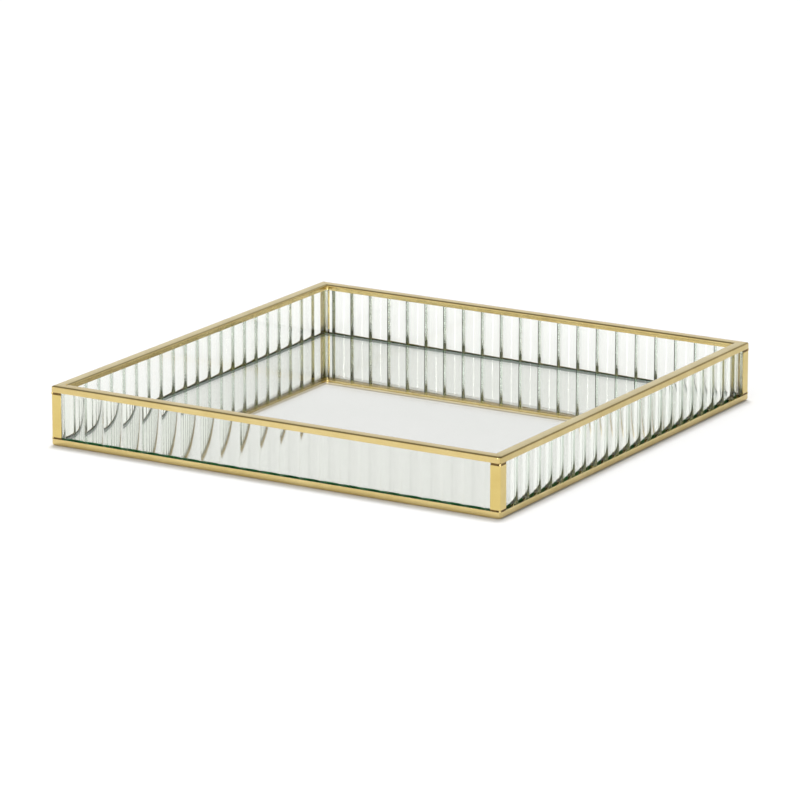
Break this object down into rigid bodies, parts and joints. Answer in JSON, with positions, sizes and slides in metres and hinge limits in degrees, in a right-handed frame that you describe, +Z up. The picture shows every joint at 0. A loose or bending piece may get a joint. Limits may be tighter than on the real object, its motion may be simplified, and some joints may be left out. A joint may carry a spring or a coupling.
{
  "type": "vanity tray",
  "caption": "Square mirrored vanity tray with low walls of fluted glass, held between folded brass rails and corner posts.",
  "frame": {"origin": "centre of the tray's underside, on the surface it rests on", "axes": "+Z up out of the tray; the walls face -Y (front), +X (right), +Y (back) and -X (left)"},
  "size_m": [0.25, 0.25, 0.03],
  "materials": {
    "brass": "satin",
    "solder": "polished",
    "fluted_glass": "polished",
    "mirror_glass": "polished",
    "silvering": "polished",
    "felt": "matte"
  },
  "bodies": {
    "root": {"top_rail_front": "brass", "top_rail_right": "brass", "top_rail_back": "brass", "top_rail_left": "brass", "base_rail_front": "brass", "base_rail_right": "brass", "base_rail_back": "brass", "base_rail_left": "brass", "corner_post_front_left": "brass", "corner_post_front_right": "brass", "corner_post_back_right": "brass", "corner_post_back_left": "brass", "solder_post_top_front_left": "solder", "solder_post_top_front_right": "solder", "solder_post_top_back_right": "solder", "solder_post_top_back_left": "solder", "solder_post_base_front_left": "solder", "solder_post_base_front_right": "solder", "solder_post_base_back_right": "solder", "solder_post_base_back_left": "solder", "solder_rim_front_left": "solder", "solder_rim_front_right": "solder", "solder_rim_back_right": "solder", "solder_rim_back_left": "solder", "glass_panel_front": "fluted_glass", "glass_panel_right": "fluted_glass", "glass_panel_back": "fluted_glass", "glass_panel_left": "fluted_glass", "mirror_glass": "mirror_glass", "mirror_silvering": "silvering", "felt_base": "felt"}
  },
  "joints": []
}
